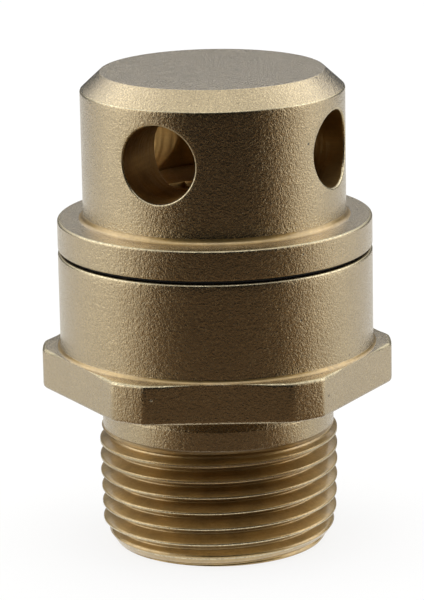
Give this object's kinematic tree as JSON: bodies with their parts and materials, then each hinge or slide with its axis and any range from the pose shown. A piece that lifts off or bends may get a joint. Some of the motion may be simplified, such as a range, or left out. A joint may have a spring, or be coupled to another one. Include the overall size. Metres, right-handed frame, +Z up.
{
  "type": "pressure relief valve",
  "caption": "Compact brass spring-loaded relief valve: male taper-thread inlet, hexagon, round body and a chamfered round cap with four side discharge ports.",
  "frame": {"origin": "centre of the inlet end face, the lowest point of the valve when it stands on its inlet", "axes": "+Z up along the flow from the inlet to the cap; X and Y through the centres of the four discharge ports; the hexagon's flats face 25 degrees off the ports"},
  "size_m": [0.0368, 0.039, 0.0534],
  "materials": {
    "blasted_brass": "fine shot-blasted satin brass",
    "turned_brass": "bare turned brass with fine tool rings",
    "bronze": "sintered bearing bronze",
    "stainless": "turned stainless steel",
    "spring_steel": "drawn stainless spring wire",
    "fibre": "black fibre gasket",
    "elastomer": "moulded black fluoro-rubber",
    "nylon": "natural nylon"
  },
  "bodies": {
    "casing": {"inlet_body": "blasted_brass", "discharge_cap": "blasted_brass", "cap_gasket": "fibre", "cap_lock_pin": "turned_brass", "seat_nozzle": "turned_brass", "nozzle_gasket": "fibre", "main_spring": "spring_steel"},
    "disc_assembly": {"soft_seat_disc": "elastomer", "disc_holder": "turned_brass", "seat_retainer_washer": "stainless", "retainer_lock_washer": "spring_steel", "seat_retainer_screw": "stainless", "valve_stem": "stainless", "stem_cross_pin": "stainless", "lower_spring_washer": "stainless"},
    "spring_plate": {"upper_spring_plate": "stainless"},
    "adjuster": {"adjusting_plug": "turned_brass", "plug_lock_pellet": "nylon", "stem_guide_bush": "bronze", "stem_o_ring": "elastomer"}
  },
  "joints": [
    {"name": "disc_lift", "type": "slide", "parent": "casing", "child": "disc_assembly", "axis": [0, 0, 1], "range_m": [0, 0.0022], "stiffness_N_per_m": 5500, "springref_m": -0.005, "deforming": ["main_spring"]},
    {"name": "plate_advance", "type": "slide", "parent": "casing", "child": "spring_plate", "axis": [0, 0, 1], "range_m": [-0.001, 0.0005], "deforming": ["main_spring"]},
    {"name": "adjuster_turn", "type": "hinge", "parent": "spring_plate", "child": "adjuster", "pos_m": [0, 0, 0.0398], "axis": [0, 0, 1], "range_deg": [-360, 180]}
  ],
  "couplings": [
    {"joint": "adjuster_turn", "follows": "plate_advance", "rad_per_m": 6283.2}
  ]
}
